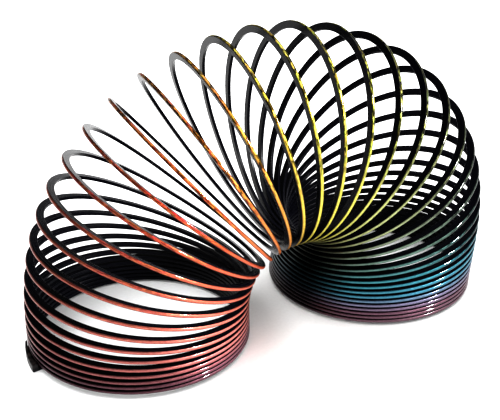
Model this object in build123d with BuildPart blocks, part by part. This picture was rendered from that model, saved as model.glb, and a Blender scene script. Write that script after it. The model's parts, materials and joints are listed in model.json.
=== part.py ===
"""Spring coil toy: one flat plastic strip wound into a coil and standing as an arch on its two ends.

The frame: X runs from the left foot to the right foot, Y away from the front, Z up. The origin is on the
ground in the middle of the arch. Places along the strip are counted in turns: the strip passes the outside
of the arch at every whole turn and the inside, where turn meets turn, half-way between.
"""
from build123d import *
from math import ceil, cos, exp, floor, pi, radians, sin
import os

# Driving dimensions, in millimetres, degrees and turns
outer_radius = 37.5
strip_depth = 2.7
strip_thickness = 1.18
stack_pitch = 1.295
strip_start = -0.026
strip_end = 40.17
arch_angle = 180

# How the arch opens: the share of the bend that each turn takes
fullest_turn = 24.09
rise_turns, rise_power = 15.45, 3.14
fall_turns, fall_power = 4.83, 1.09

# Where each turn hinges on the next, as levers from the inside of the coil
spread_level, spread_across, spread_up = 5.05, 4.29, -2.68
slip_level, slip_across, slip_up, slip_twice = -9.21, 14.8, 8.7, -11.57

# End clips
clip_arc = 23
clip_height = 2.7
clip_sole = 0.3
clip_sole_reach = 1.6
clip_gap = 0.15
clip_sole_gap = 0.02
clip_end_wall = 2.1
clip_far_wall = 0.7
clip_rounding = 0.25

# How finely the shape is followed
steps_per_turn = 48
sections_per_turn = 16
joint_gap_turns = 0.0004


def bend_share(turn):
    """Relative bend of the coil at a place along the strip, 1 where the arch is most open."""
    if turn < fullest_turn:
        return exp(-((fullest_turn - turn) / rise_turns) ** rise_power)
    return exp(-((turn - fullest_turn) / fall_turns) ** fall_power)


def lever(level, across, up, twice, lean):
    """A distance that changes with the lean of the turn, from 0 in the left foot to pi in the right one."""
    return level + across * cos(lean) + up * sin(lean) + twice * sin(2 * lean)


def follow_arch():
    """Lean of the coil and place of its inner side at every step, from the strip's start to its end."""
    count = ceil((strip_end - strip_start) * steps_per_turn)
    step = (strip_end - strip_start) / count
    shares = [bend_share(strip_start + (index + 0.5) * step) for index in range(count)]
    bend_per_share = radians(arch_angle) / sum(shares)
    leans = [0.0]
    places = [(0.0, 0.0)]
    for share in shares:
        bend = share * bend_per_share
        lean = leans[-1] + bend / 2
        rise = stack_pitch * step + bend * lever(spread_level, spread_across, spread_up, 0, lean)
        slip = bend * lever(slip_level, slip_across, slip_up, slip_twice, lean)
        x, z = places[-1]
        places.append((x + rise * sin(lean) - slip * cos(lean), z + rise * cos(lean) + slip * sin(lean)))
        leans.append(leans[-1] + bend)
    return step, leans, places


arch_step, arch_leans, arch_places = follow_arch()


def arch_at(turn):
    """Lean and place of the coil's inner side at any place along the strip."""
    position = min(max((turn - strip_start) / arch_step, 0.0), len(arch_leans) - 1.000001)
    index = floor(position)
    part = position - index
    (x0, z0), (x1, z1) = arch_places[index], arch_places[index + 1]
    lean = arch_leans[index] + part * (arch_leans[index + 1] - arch_leans[index])
    return lean, x0 + part * (x1 - x0), z0 + part * (z1 - z0)


def strip_point(turn, radius):
    """Point of the strip's mid surface at a radius, before the arch is moved to its place."""
    lean, x, z = arch_at(turn)
    around = 2 * pi * turn
    outward = outer_radius + radius * cos(around)
    return Vector(x - outward * cos(lean), radius * sin(around), z + outward * sin(lean))


def arch_centre():
    """Middle of the outline along X, with the left clip, so that the origin can stand under it."""
    samples = [strip_point(index / steps_per_turn, outer_radius)
               for index in range(ceil(strip_start * steps_per_turn), floor(strip_end * steps_per_turn))]
    edges = [point.X for point in samples]
    edges.append(-2 * outer_radius - (clip_end_wall + clip_far_wall) / 2)
    return (min(edges) + max(edges)) / 2


arch_shift = Vector(-arch_centre(), 0, clip_sole + strip_thickness / 2)


def section_plane(turn):
    """Plane across the strip, its X pointing out from the coil's axis."""
    step = 1 / steps_per_turn
    middle_radius = outer_radius - strip_depth / 2
    origin = strip_point(turn, middle_radius) + arch_shift
    ahead = strip_point(min(turn + step, strip_end), middle_radius)
    behind = strip_point(max(turn - step, strip_start), middle_radius)
    outward = strip_point(turn, outer_radius) - strip_point(turn, middle_radius)
    return Plane(origin=origin, x_dir=outward, z_dir=ahead - behind)


def strip_turn(first, last):
    """The strip between two places along it, as one loft."""
    count = max(2, round((last - first) * sections_per_turn))
    with BuildPart() as turn:
        for index in range(count + 1):
            with BuildSketch(section_plane(first + (last - first) * index / count)):
                Rectangle(strip_depth, strip_thickness)
        loft()
    return turn


def end_clip(foot_x, strip_end_direction):
    """Clip that holds the strip's end to the turn above it; the strip leaves it clockwise from above."""
    foot = Plane(origin=(foot_x, 0, 0), x_dir=strip_end_direction, z_dir=(0, 0, 1))
    inner = outer_radius + clip_gap
    sole_inner = outer_radius - clip_sole_reach
    end_outer = outer_radius + clip_end_wall
    far_outer = outer_radius + clip_far_wall
    middle_outer = (end_outer + far_outer) / 2
    far = Vector(1, 0).rotate(Axis.Z, -clip_arc)
    middle = Vector(1, 0).rotate(Axis.Z, -clip_arc / 2)
    near = Vector(1, 0)
    with BuildPart() as clip:
        for inside, height in ((inner, clip_height), (sole_inner, clip_sole - clip_sole_gap)):
            with BuildSketch(foot):
                with BuildLine():
                    ThreePointArc(near * inside, middle * inside, far * inside)
                    Line(far * inside, far * far_outer)
                    ThreePointArc(far * far_outer, middle * middle_outer, near * end_outer)
                    Line(near * end_outer, near * inside)
                make_face()
            extrude(amount=height)
        corners = clip.edges().filter_by(Axis.Z).filter_by(lambda edge: edge.length > clip_sole)
        fillet(corners, radius=clip_rounding)
    return clip


def radial_direction(turn):
    """Direction from the coil's axis to the strip, seen from above, where the coil stands upright."""
    lean = arch_at(turn)[0]
    around = 2 * pi * turn
    return (-cos(lean) * cos(around), sin(around), 0)


def foot_centre(turn):
    """X of the coil's axis where it meets the ground."""
    lean, x, z = arch_at(turn)
    return x - outer_radius * cos(lean) + arch_shift.X


os.makedirs("parts", exist_ok=True)

splits = [strip_start] + [half + 0.5 for half in range(ceil(strip_start - 0.5), floor(strip_end + 0.5))]
splits.append(strip_end)
for number, (first, last) in enumerate(zip(splits, splits[1:]), start=1):
    name = f"coil_turn_{number:02d}"
    turn = strip_turn(first + joint_gap_turns / 2, last - joint_gap_turns / 2)
    turn.part.label = name
    export_step(turn.part, f"parts/{name}.step")

for side, turn in (("left", strip_start), ("right", strip_end)):
    clip = end_clip(foot_centre(turn), radial_direction(turn))
    clip.part.label = f"end_clip_{side}"
    export_step(clip.part, f"parts/end_clip_{side}.step")
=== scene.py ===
import json
from math import atan2, ceil, cos, exp, floor, pi, radians, sin, sqrt

import bpy
from mathutils import Euler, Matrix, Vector


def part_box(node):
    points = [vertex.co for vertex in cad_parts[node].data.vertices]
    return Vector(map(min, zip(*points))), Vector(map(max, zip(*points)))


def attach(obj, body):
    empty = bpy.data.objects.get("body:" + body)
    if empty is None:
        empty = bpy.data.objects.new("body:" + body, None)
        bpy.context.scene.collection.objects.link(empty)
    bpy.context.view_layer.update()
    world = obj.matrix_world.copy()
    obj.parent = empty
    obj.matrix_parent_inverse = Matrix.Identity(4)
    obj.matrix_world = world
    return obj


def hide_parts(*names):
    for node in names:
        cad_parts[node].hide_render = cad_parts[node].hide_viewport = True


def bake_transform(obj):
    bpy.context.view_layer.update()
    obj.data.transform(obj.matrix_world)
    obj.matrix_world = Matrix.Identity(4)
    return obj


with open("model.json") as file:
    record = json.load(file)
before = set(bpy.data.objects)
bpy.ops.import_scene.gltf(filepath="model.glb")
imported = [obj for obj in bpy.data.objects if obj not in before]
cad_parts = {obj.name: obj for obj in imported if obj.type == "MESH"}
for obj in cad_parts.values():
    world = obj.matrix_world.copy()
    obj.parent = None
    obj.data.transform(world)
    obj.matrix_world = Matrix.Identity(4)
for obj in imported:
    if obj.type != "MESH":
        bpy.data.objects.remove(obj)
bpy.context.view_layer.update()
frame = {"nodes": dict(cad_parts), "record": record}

MM = 0.001

# The strip and its arch, in millimetres, radians and turns, as the CAD part has them
outer_radius = 37.5
strip_depth = 2.7
strip_thickness = 1.18
stack_pitch = 1.295
strip_start = -0.026
strip_end = 40.17
fullest_turn = 24.09
rise_turns, rise_power = 15.45, 3.14
fall_turns, fall_power = 4.83, 1.09
spread_level, spread_across, spread_up = 5.05, 4.29, -2.68
slip_level, slip_across, slip_up, slip_twice = -9.21, 14.8, 8.7, -11.57
steps_per_turn = 48

clip_arc = 23
clip_height = 2.7
clip_sole = 0.3
clip_sole_reach = 1.6
clip_gap = 0.15
clip_sole_gap = 0.02
clip_end_wall = 2.1
clip_far_wall = 0.7
clip_rounding = 0.25


# ---------------------------------------------------------------- the arch

def bend_share(turn):
    """Relative bend of the coil at a place along the strip."""
    if turn < fullest_turn:
        return exp(-((fullest_turn - turn) / rise_turns) ** rise_power)
    return exp(-((turn - fullest_turn) / fall_turns) ** fall_power)


def lever(level, across, up, twice, lean):
    """A distance that changes with the lean of the turn, from 0 in the left foot to pi in the right one."""
    return level + across * cos(lean) + up * sin(lean) + twice * sin(2 * lean)


def follow_arch():
    """Lean of the coil and place of its inner side at every step along the strip."""
    count = ceil((strip_end - strip_start) * steps_per_turn)
    step = (strip_end - strip_start) / count
    shares = [bend_share(strip_start + (index + 0.5) * step) for index in range(count)]
    bend_per_share = pi / sum(shares)
    leans, places = [0.0], [(0.0, 0.0)]
    for share in shares:
        bend = share * bend_per_share
        lean = leans[-1] + bend / 2
        rise = stack_pitch * step + bend * lever(spread_level, spread_across, spread_up, 0, lean)
        slip = bend * lever(slip_level, slip_across, slip_up, slip_twice, lean)
        x, z = places[-1]
        places.append((x + rise * sin(lean) - slip * cos(lean), z + rise * cos(lean) + slip * sin(lean)))
        leans.append(leans[-1] + bend)
    return step, leans, places


arch_step, arch_leans, arch_places = follow_arch()


def arch_at(turn):
    """Lean and place of the coil's inner side at any place along the strip."""
    position = (turn - strip_start) / arch_step
    index = min(max(floor(position), 0), len(arch_leans) - 2)
    part = position - index
    (x0, z0), (x1, z1) = arch_places[index], arch_places[index + 1]
    lean = arch_leans[index] + part * (arch_leans[index + 1] - arch_leans[index])
    return lean, x0 + part * (x1 - x0), z0 + part * (z1 - z0)


# The lowest X of the CAD's first turn says where the arch stands
first_turn_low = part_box("coil_turn_01")[0]
arch_shift = Vector((first_turn_low.x / MM + 2 * outer_radius, 0, clip_sole + strip_thickness / 2))


def strip_frame(turn):
    """Middle of the strip's section, with the outward and upward directions there."""
    lean, x, z = arch_at(turn)
    around = 2 * pi * turn
    across = Vector((-cos(lean), 0, sin(lean)))
    centre = Vector((x, 0, z)) + arch_shift + outer_radius * across
    outward = cos(around) * across + Vector((0, sin(around), 0))
    upward = Vector((sin(lean), 0, cos(lean)))
    return centre + (outer_radius - strip_depth / 2) * outward, outward, upward


# ---------------------------------------------------------------- materials

def node(tree, kind, place=(0, 0), **values):
    """A shader node with its settings and input values."""
    made = tree.nodes.new(kind)
    made.location = place
    for name, value in values.items():
        if hasattr(made, name):
            setattr(made, name, value)
        else:
            made.inputs[name].default_value = value
    return made


def new_material(name):
    """An empty node material with its Principled shader."""
    material = bpy.data.materials.new(name)
    material.use_nodes = True
    tree = material.node_tree
    tree.nodes.clear()
    shader = node(tree, "ShaderNodeBsdfPrincipled", (200, 0))
    output = node(tree, "ShaderNodeOutputMaterial", (500, 0))
    tree.links.new(shader.outputs["BSDF"], output.inputs["Surface"])
    return material, tree, shader


def strip_coordinates(tree, along_scale, across_scale):
    """Texture place that is fixed to the strip, scaled from its millimetres along and around it."""
    place = node(tree, "ShaderNodeAttribute", (-1200, 0), attribute_name="strip_place")
    scaled = node(tree, "ShaderNodeMapping", (-1000, 0), Scale=(along_scale, across_scale, 1))
    tree.links.new(place.outputs["Vector"], scaled.inputs["Vector"])
    return scaled.outputs["Vector"]


def ramp(tree, place, value, stops):
    """Colour that a value picks from a ramp with these stops."""
    made = node(tree, "ShaderNodeValToRGB", place)
    elements = made.color_ramp.elements
    elements[0].position, elements[0].color = stops[0][0], (*stops[0][1], 1)
    elements[1].position, elements[1].color = stops[-1][0], (*stops[-1][1], 1)
    for position, colour in stops[1:-1]:
        elements.new(position).color = (*colour, 1)
    tree.links.new(value, made.inputs["Fac"])
    return made.outputs["Color"]


def graded(tree, place, value, stops):
    """Level that a value picks from a ramp with these stops."""
    return ramp(tree, place, value, [(position, (level, level, level)) for position, level in stops])


def mapped(tree, place, value, from_range, to_range):
    """A value carried from one range to another and kept within it."""
    made = node(tree, "ShaderNodeMapRange", place)
    for name, number in zip(("From Min", "From Max", "To Min", "To Max"), (*from_range, *to_range)):
        made.inputs[name].default_value = number
    tree.links.new(value, made.inputs["Value"])
    return made.outputs["Result"]


def multiplied(tree, place, first, second):
    """Product of two values."""
    made = node(tree, "ShaderNodeMath", place, operation="MULTIPLY")
    tree.links.new(first, made.inputs[0])
    tree.links.new(second, made.inputs[1])
    return made.outputs[0]


def attribute(tree, place, name):
    """Value of a mesh attribute."""
    return node(tree, "ShaderNodeAttribute", place, attribute_name=name).outputs["Fac"]


def add_bump(tree, shader, place, height, strength, depth):
    """Fine relief on a material, its depth in millimetres."""
    bump = node(tree, "ShaderNodeBump", place, Strength=strength, Distance=depth * MM)
    tree.links.new(height, bump.inputs["Height"])
    tree.links.new(bump.outputs["Normal"], shader.inputs["Normal"])


# Tones of the plastics and the paper, each from its darkest to its palest, and how rough the plastics are
STRIP_TONES = [(0.3, (0.0015, 0.0015, 0.003)), (0.7, (0.004, 0.004, 0.007))]
STRIP_ROUGHNESS = (0.18, 0.34)
# The clip's palest tone is painted light on its top
CLIP_TONES = [(0.0, (0.004, 0.004, 0.006)), (1.0, (0.075, 0.06, 0.055))]
CLIP_ROUGHNESS = (0.32, 0.5)
PAPER_TONES = [(0.3, (0.90, 0.90, 0.90)), (0.7, (0.94, 0.94, 0.94))]

# Height on a clip, as a share of it, above which its painted light begins, growing paler towards the top in
# patches
PAINTED_LIGHT_FROM = 0.35


def black_plastic():
    """Satin black plastic with faint draw marks along the strip."""
    material, tree, shader = new_material("black_plastic")
    shader.inputs["Specular IOR Level"].default_value = 0.1
    marks = node(tree, "ShaderNodeTexNoise", (-800, 0), Scale=1.0, Detail=5.0, Roughness=0.6)
    tree.links.new(strip_coordinates(tree, 0.05, 3.0), marks.inputs["Vector"])
    tone = ramp(tree, (-500, 200), marks.outputs["Fac"], STRIP_TONES)
    tree.links.new(tone, shader.inputs["Base Color"])
    gloss = mapped(tree, (-500, -100), marks.outputs["Fac"], (0, 1), STRIP_ROUGHNESS)
    tree.links.new(gloss, shader.inputs["Roughness"])
    grain = node(tree, "ShaderNodeTexNoise", (-800, -400), Scale=1.0, Detail=3.0)
    tree.links.new(strip_coordinates(tree, 0.6, 4.0), grain.inputs["Vector"])
    add_bump(tree, shader, (-200, -300), grain.outputs["Fac"], strength=0.12, depth=0.05)
    return material


# Colours of the foil, from the start of the strip to its end: the rainbow print, with painted shade
# darkening it from about 0.57 to 0.71, over the top of the arch
RAINBOW_AND_PAINTED_SHADE = [
    (0.00, (0.16, 0.08, 0.10)),
    (0.05, (0.26, 0.11, 0.14)),
    (0.12, (0.74, 0.26, 0.24)),
    (0.20, (0.86, 0.28, 0.22)),
    (0.27, (0.85, 0.22, 0.14)),
    (0.35, (0.80, 0.16, 0.06)),
    (0.41, (0.88, 0.36, 0.08)),
    (0.46, (0.98, 0.84, 0.13)),
    (0.52, (0.86, 0.82, 0.16)),
    (0.57, (0.56, 0.60, 0.25)),
    (0.64, (0.26, 0.31, 0.22)),
    (0.71, (0.14, 0.26, 0.23)),
    (0.77, (0.07, 0.31, 0.37)),
    (0.84, (0.09, 0.29, 0.40)),
    (0.89, (0.25, 0.23, 0.34)),
    (0.94, (0.23, 0.12, 0.16)),
    (1.00, (0.22, 0.13, 0.16)),
]

# How far the foil breaks into flakes, from the start of the strip to its end
FLAKING = [(0.18, 0.1), (0.30, 0.35), (0.40, 0.9), (0.50, 1.0), (0.72, 0.9), (0.80, 0.1)]

# Painted shade on the foil round each turn, as the share of its brightness kept, from the inside of the
# arch to its outside: darkest at the inside and darker again towards the outside
FOIL_SHADE_AROUND_TURN = [(0.03, 0.15), (0.14, 1.0), (0.38, 0.9), (0.60, 0.65), (0.80, 0.6), (0.97, 0.35)]

# How far painted shade darkens the foil on the outer half of the turns, from the start of the strip to its
# end
FOIL_SHADE_OVER_ARCH = [(0.48, 0.0), (0.56, 0.75), (0.74, 0.85), (0.80, 0.0)]

# Where round a turn the flaking and the painted shade on the outer half start and end changing, from 0 at
# the inside of the arch to 1 at its outside
FLAKED_SIDE = (0.4, 0.65)
FOIL_SHADE_SIDE = (0.35, 0.7)

# Where across the rim painted shade darkens the foil, from 0 in its middle to 1 at its edges, and how far
EDGE_SHADE_PLACES, EDGE_SHADE_LEVELS = (0.4, 0.9), (1.0, 0.33)

# Cells of the foil's patterns per millimetre, along the strip and around its section
FLAKE_DENSITY = (0.55, 0.32)
FACET_DENSITY = (2.2, 1.1)

# How the foil varies from cell to cell: the loss of a flake, and the hue, brightness and roughness
LOSS = (-0.6, 0.95)
HUES = (0.46, 0.54)
GLINTS = (0.8, 1.15)
FOIL_ROUGHNESS = (0.35, 0.6)


def strip_cells(tree, place, density):
    """Random values, as red, green and blue, of the cells of a pattern that is fixed to the strip."""
    cells = node(tree, "ShaderNodeTexVoronoi", place, feature="F1", Scale=1.0)
    tree.links.new(strip_coordinates(tree, *density), cells.inputs["Vector"])
    cell = node(tree, "ShaderNodeSeparateColor", (place[0] + 200, place[1]))
    tree.links.new(cells.outputs["Color"], cell.inputs["Color"])
    return cell.outputs


def painted_foil_shade(tree, share, side):
    """How much of the foil's brightness the painted shade round the turns, over the top of the arch and at
    the rim's edges leaves.
    """
    # Painted shade round each turn, darkest at the inside of the arch
    painted_light_level = graded(tree, (-550, 300), side, FOIL_SHADE_AROUND_TURN)
    outside = mapped(tree, (-1300, 400), side, FOIL_SHADE_SIDE, (0, 1))
    # Painted shade over the top of the arch, on the outer half of the turns
    shade_over_arch = multiplied(tree, (-1000, 500), graded(tree, (-1500, -100), share, FOIL_SHADE_OVER_ARCH), outside)
    unshaded_over_arch = mapped(tree, (-800, 500), shade_over_arch, (0, 1), (1, 0))
    across = attribute(tree, (-800, 450), "strip_edge")
    # Painted shade towards the rim's edges
    edge_shade = mapped(tree, (-550, 450), across, EDGE_SHADE_PLACES, EDGE_SHADE_LEVELS)
    return multiplied(tree, (-400, 400), multiplied(tree, (-600, 600), painted_light_level, unshaded_over_arch), edge_shade)


def rainbow_foil():
    """Hot-stamped metal foil: a rainbow along the coil, flaking in the middle, darkened by painted shade
    round the turns.
    """
    material, tree, shader = new_material("rainbow_foil")
    shader.inputs["Metallic"].default_value = 1.0
    shader.inputs["Coat Weight"].default_value = 0.4
    shader.inputs["Coat Roughness"].default_value = 0.05
    share = attribute(tree, (-1800, 600), "strip_share")
    side = attribute(tree, (-1500, 100), "strip_side")
    flake = strip_cells(tree, (-1100, 0), FLAKE_DENSITY)
    facet = strip_cells(tree, (-1100, -300), FACET_DENSITY)

    outside = mapped(tree, (-1300, 100), side, FLAKED_SIDE, (0.12, 1.0))
    flaked = multiplied(tree, (-1200, 200), graded(tree, (-1500, 300), share, FLAKING), outside)
    loss = mapped(tree, (-800, 0), flake["Green"], (0.25, 0.65), LOSS)
    kept = mapped(tree, (-550, 100), multiplied(tree, (-700, 100), loss, flaked), LOSS, (1.6, 0.05))
    # The foil's brightness after flaking and painted shade
    left = multiplied(tree, (-400, 200), kept, painted_foil_shade(tree, share, side))
    glint = mapped(tree, (-550, -50), facet["Green"], (0, 1), GLINTS)
    level = multiplied(tree, (-250, 100), left, glint)
    turn_away = mapped(tree, (-800, -200), flake["Red"], (0, 1), (-1, 1))
    turned = multiplied(tree, (-700, -200), flaked, turn_away)

    tint = node(tree, "ShaderNodeHueSaturation", (-100, 400))
    tree.links.new(mapped(tree, (-550, -200), turned, (-1, 1), HUES), tint.inputs["Hue"])
    tree.links.new(level, tint.inputs["Value"])
    tree.links.new(ramp(tree, (-1500, 600), share, RAINBOW_AND_PAINTED_SHADE), tint.inputs["Color"])
    tree.links.new(tint.outputs["Color"], shader.inputs["Base Color"])
    gloss = mapped(tree, (-100, -150), facet["Blue"], (0, 1), FOIL_ROUGHNESS)
    tree.links.new(gloss, shader.inputs["Roughness"])
    add_bump(tree, shader, (-100, -400), facet["Green"], strength=0.35, depth=0.1)
    return material


def clip_plastic():
    """Black moulded plastic with a spark-eroded grain and painted light in pale patches along the top."""
    material, tree, shader = new_material("clip_plastic")
    shader.inputs["Specular IOR Level"].default_value = 0.25
    place = node(tree, "ShaderNodeTexCoord", (-1100, 0)).outputs["Object"]
    # Noise that breaks the painted light on the clip's top into pale patches
    light_patches = node(tree, "ShaderNodeTexNoise", (-900, 200), Scale=420.0, Detail=4.0, Roughness=0.65)
    tree.links.new(place, light_patches.inputs["Vector"])
    painted_light_level = mapped(tree, (-700, 200), light_patches.outputs["Fac"], (0.42, 0.62), (0.0, 1.0))
    height = node(tree, "ShaderNodeSeparateXYZ", (-900, 400))
    tree.links.new(place, height.inputs["Vector"])
    clip_top = clip_height * MM
    # Painted light: the clip grows paler towards its top
    top = mapped(tree, (-700, 400), height.outputs["Z"], (PAINTED_LIGHT_FROM * clip_top, clip_top), (0.0, 1.0))
    tone = ramp(tree, (-300, 300), multiplied(tree, (-500, 300), top, painted_light_level), CLIP_TONES)
    tree.links.new(tone, shader.inputs["Base Color"])
    grain = node(tree, "ShaderNodeTexNoise", (-900, -200), Scale=5200.0, Detail=2.0)
    tree.links.new(place, grain.inputs["Vector"])
    gloss = mapped(tree, (-500, 0), grain.outputs["Fac"], (0.3, 0.7), CLIP_ROUGHNESS)
    tree.links.new(gloss, shader.inputs["Roughness"])
    add_bump(tree, shader, (-300, -300), grain.outputs["Fac"], strength=0.3, depth=0.04)
    return material


def floor_material():
    """Matt white paper with a very faint tooth."""
    material, tree, shader = new_material("studio_paper")
    shader.inputs["Specular IOR Level"].default_value = 0.1
    shader.inputs["Roughness"].default_value = 0.9
    place = node(tree, "ShaderNodeTexCoord", (-800, 0)).outputs["Object"]
    tooth = node(tree, "ShaderNodeTexNoise", (-600, 0), Scale=900.0, Detail=4.0)
    tree.links.new(place, tooth.inputs["Vector"])
    tone = ramp(tree, (-300, 100), tooth.outputs["Fac"], PAPER_TONES)
    tree.links.new(tone, shader.inputs["Base Color"])
    add_bump(tree, shader, (-100, -200), tooth.outputs["Fac"], strength=0.05, depth=0.1)
    return material


plastic = black_plastic()
foil = rainbow_foil()
moulded = clip_plastic()


# ---------------------------------------------------------------- the strip

# Roundings of the strip's section in millimetres, and how finely the shape is followed
inner_corner = 0.14
rim_crown = 0.28
rim_corner = 0.08
rim_points = 10
corner_points = 3
turn_steps = 128
quarter_turn = 0.25

# Weight of the upward part in the texture's place around the section, so that the two faces differ
upward_weight = 7


def arc(centre, radius, first, last, points):
    """Points of an arc in the strip's section, each with the direction that its surface faces."""
    angles = [first + (last - first) * index / points for index in range(points + 1)]
    return [(centre[0] + radius * cos(angle), centre[1] + radius * sin(angle), cos(angle), sin(angle))
            for angle in angles]


def strip_profile():
    """The strip's section as (outward, upward, facing outward, facing upward), first its crowned rim."""
    half_depth, half_thickness = strip_depth / 2, strip_thickness / 2
    crown_radius = (half_thickness ** 2 + rim_crown ** 2) / (2 * rim_crown)
    crown_centre = half_depth - crown_radius
    corner_height = half_thickness - rim_corner
    corner_out = crown_centre + sqrt((crown_radius - rim_corner) ** 2 - corner_height ** 2)
    rim_angle = atan2(corner_height, corner_out - crown_centre)
    inside = -half_depth + inner_corner
    inner_height = half_thickness - inner_corner
    return (arc((crown_centre, 0), crown_radius, -rim_angle, rim_angle, rim_points)
            + arc((corner_out, corner_height), rim_corner, rim_angle, pi / 2, corner_points)
            + arc((inside, inner_height), inner_corner, pi / 2, pi, corner_points)
            + arc((inside, -inner_height), inner_corner, pi, 3 * pi / 2, corner_points)
            + arc((corner_out, -corner_height), rim_corner, -pi / 2, -rim_angle, corner_points))


def strip_piece(name, first, last):
    """Mesh of the strip between two places along it, black with its foil rim."""
    profile = strip_profile()
    size = len(profile)
    count = max(2, round((last - first) * turn_steps))
    vertices, normals, places = [], [], []
    shares, sides, edges = [], [], []
    for index in range(count + 1):
        turn = first + (last - first) * index / count
        centre, outward, upward = strip_frame(turn)
        for outward_part, upward_part, normal_out, normal_up in profile:
            vertices.append((centre + outward_part * outward + upward_part * upward) * MM)
            normals.append((normal_out * outward + normal_up * upward).normalized())
            shares.append((turn - strip_start) / (strip_end - strip_start))
            sides.append((1 + cos(2 * pi * turn)) / 2)
            edges.append(abs(upward_part) * 2 / strip_thickness)
            places.append((turn * 2 * pi * outer_radius, outward_part + upward_weight * upward_part, 0))
    faces, slots = [], []
    for ring in range(count):
        for point in range(size):
            following = (point + 1) % size
            faces.append((ring * size + point, ring * size + following,
                          (ring + 1) * size + following, (ring + 1) * size + point))
            slots.append(1 if point < rim_points else 0)
    faces.append(tuple(reversed(range(size))))
    faces.append(tuple(range(count * size, (count + 1) * size)))
    slots += [0, 0]
    mesh = bpy.data.meshes.new(name)
    mesh.from_pydata(vertices, [], faces)
    mesh.materials.append(plastic)
    mesh.materials.append(foil)
    mesh.polygons.foreach_set("material_index", slots)
    mesh.shade_smooth()
    for attribute_name, values in (("strip_share", shares), ("strip_side", sides), ("strip_edge", edges)):
        mesh.attributes.new(attribute_name, "FLOAT", "POINT").data.foreach_set("value", values)
    mesh.attributes.new("strip_place", "FLOAT_VECTOR", "POINT").data.foreach_set(
        "vector", [part for place in places for part in place])
    mesh.normals_split_custom_set_from_vertices(normals)
    piece = bpy.data.objects.new(name, mesh)
    bpy.context.scene.collection.objects.link(piece)
    return piece


body_of = {name: body for body, names in frame["record"]["behaviour"]["bodies"].items() for name in names}
turn_nodes = sorted(name for name in frame["nodes"] if name.startswith("coil_turn"))

for number, name in enumerate(turn_nodes):
    body = body_of[name]
    outer = strip_piece(f"strip_outer_{number + 1:02d}", max(number - quarter_turn, strip_start),
                        min(number + quarter_turn, strip_end))
    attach(outer, body)
    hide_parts(name)
    if number + 1 == len(turn_nodes):
        break
    inner = strip_piece(f"strip_inner_{number + 1:02d}", number + quarter_turn, number + 3 * quarter_turn)
    next_body = body_of[turn_nodes[number + 1]]
    if next_body == body:
        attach(inner, body)
    else:
        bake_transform(inner)


# ---------------------------------------------------------------- the end clips

clip_stations = 24
clip_corner_points = 5
clip_sharp_angle = 35


def clip_section(outer):
    """Outline of a clip's wall and sole as (radius, height), for an outer radius."""
    inner = outer_radius + clip_gap
    sole_inner = outer_radius - clip_sole_reach
    sole_top = clip_sole - clip_sole_gap
    rounding = min(clip_rounding, (outer - inner) / 2)
    corners = ((outer - rounding, rounding, -pi / 2), (outer - rounding, clip_height - rounding, 0.0),
               (inner + rounding, clip_height - rounding, pi / 2))
    outline = [(sole_inner, 0.0)]
    for radius, height, first in corners:
        outline += [point[:2] for point in arc((radius, height), rounding, first, first + pi / 2,
                                               clip_corner_points)]
    return outline + [(inner, sole_top), (sole_inner, sole_top)]


def clip_piece(name, foot_x, direction, body, replaced):
    """Mesh of an end clip: its section carried clockwise round the foot, with rounded outer corners."""
    vertices, faces = [], []
    for station in range(clip_stations + 1):
        part = (1 - cos(pi * station / clip_stations)) / 2
        wall = clip_end_wall + (clip_far_wall - clip_end_wall) * part
        from_end = min(part, 1 - part) * radians(clip_arc) * outer_radius
        missing = max(0.0, clip_rounding - from_end)
        cut = clip_rounding - sqrt(clip_rounding ** 2 - missing ** 2)
        section = clip_section(outer_radius + wall - cut)
        along = direction.copy()
        along.rotate(Euler((0, 0, -radians(clip_arc) * part)))
        vertices += [(Vector((foot_x, 0, height)) + radius * along) * MM for radius, height in section]
    size = len(section)
    for station in range(clip_stations):
        for point in range(size):
            following = (point + 1) % size
            faces.append((station * size + point, (station + 1) * size + point,
                          (station + 1) * size + following, station * size + following))
    faces.append(tuple(range(size)))
    faces.append(tuple(reversed(range(clip_stations * size, (clip_stations + 1) * size))))
    mesh = bpy.data.meshes.new(name)
    mesh.from_pydata(vertices, [], faces)
    mesh.materials.append(moulded)
    mesh.shade_smooth()
    mesh.set_sharp_from_angle(angle=radians(clip_sharp_angle))
    piece = bpy.data.objects.new(name, mesh)
    bpy.context.scene.collection.objects.link(piece)
    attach(piece, body)
    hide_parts(replaced)


for side, turn in (("left", strip_start), ("right", strip_end)):
    lean, x, _ = arch_at(turn)
    around = 2 * pi * turn
    clip_piece(f"clip_{side}", x - outer_radius * cos(lean) + arch_shift.x,
               Vector((-cos(lean) * cos(around), sin(around), 0)), f"foot_{side}", f"end_clip_{side}")


# ---------------------------------------------------------------- the stage

def make_floor():
    """A large white floor at the height that the toy stands on."""
    bpy.ops.mesh.primitive_plane_add(size=8, location=(0, 0, 0))
    ground = bpy.context.object
    ground.name = "floor"
    ground.data.materials.append(floor_material())


def area_light(name, place, target, size, power):
    """A square softbox that faces its target."""
    data = bpy.data.lights.new(name, "AREA")
    data.size, data.energy = size, power
    light = bpy.data.objects.new(name, data)
    light.location = place
    light.rotation_euler = (Vector(target) - Vector(place)).to_track_quat("-Z", "Y").to_euler()
    bpy.context.scene.collection.objects.link(light)
    return light


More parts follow.
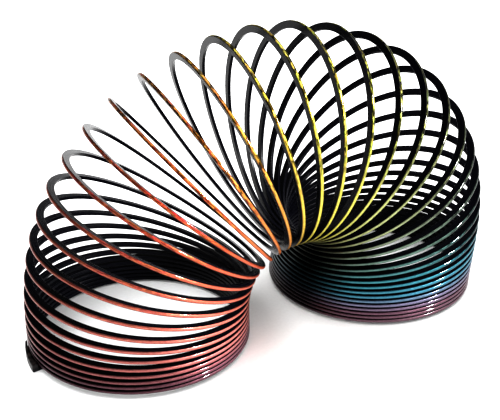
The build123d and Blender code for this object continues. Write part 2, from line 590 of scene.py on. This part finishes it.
def link_to_floor(light, link_state):
    """Let a light reach only the floor (INCLUDE), or everything but the floor (EXCLUDE)."""
    receivers = bpy.data.collections.new("receivers_of_" + light.name)
    receivers.objects.link(bpy.data.objects["floor"])
    receivers.collection_objects[0].light_linking.link_state = link_state
    light.light_linking.receiver_collection = receivers


def make_camera(azimuth, elevation, distance, target, lens):
    """The camera, its azimuth in degrees from the front towards the left foot."""
    data = bpy.data.cameras.new("camera")
    data.lens, data.sensor_width = lens, 36
    data.clip_start, data.clip_end = 0.01, 20
    camera = bpy.data.objects.new("camera", data)
    around, up = radians(azimuth), radians(elevation)
    back = Vector((-sin(around) * cos(up), -cos(around) * cos(up), sin(up)))
    camera.location = Vector(target) + back * distance
    camera.rotation_mode = "QUATERNION"
    camera.rotation_quaternion = (-back).to_track_quat("-Z", "Y")
    bpy.context.scene.collection.objects.link(camera)
    bpy.context.scene.camera = camera


def make_world(light, seen):
    """A white world that lights the toy softly but looks as pale as the floor behind it."""
    world = bpy.data.worlds.new("studio")
    world.use_nodes = True
    tree = world.node_tree
    background = tree.nodes["Background"]
    background.inputs["Color"].default_value = (1, 1, 1, 1)
    path = node(tree, "ShaderNodeLightPath", (-600, 0))
    strength = mapped(tree, (-300, 0), path.outputs["Is Camera Ray"], (0, 1), (light, seen))
    tree.links.new(strength, background.inputs["Strength"])
    bpy.context.scene.world = world


make_floor()
make_camera(azimuth=26.99, elevation=25.88, distance=0.3366, target=(-0.00414, 0, 0.0373), lens=70.7)
key = area_light("key", place=(0.82, -0.74, 0.85), target=(0, 0, 0.04), size=0.18, power=38)
floor_light = area_light("floor_light", place=(0, 0, 3), target=(0, 0, 0), size=16, power=1000)
area_light("top", place=(0, 0.2, 1.4), target=(0, 0, 0.05), size=1.3, power=12)
link_to_floor(key, "EXCLUDE")
link_to_floor(floor_light, "INCLUDE")
make_world(light=0.15, seen=1.0)
bpy.context.scene.view_settings.view_transform = "Standard"
bpy.context.scene.view_settings.look = "High Contrast"
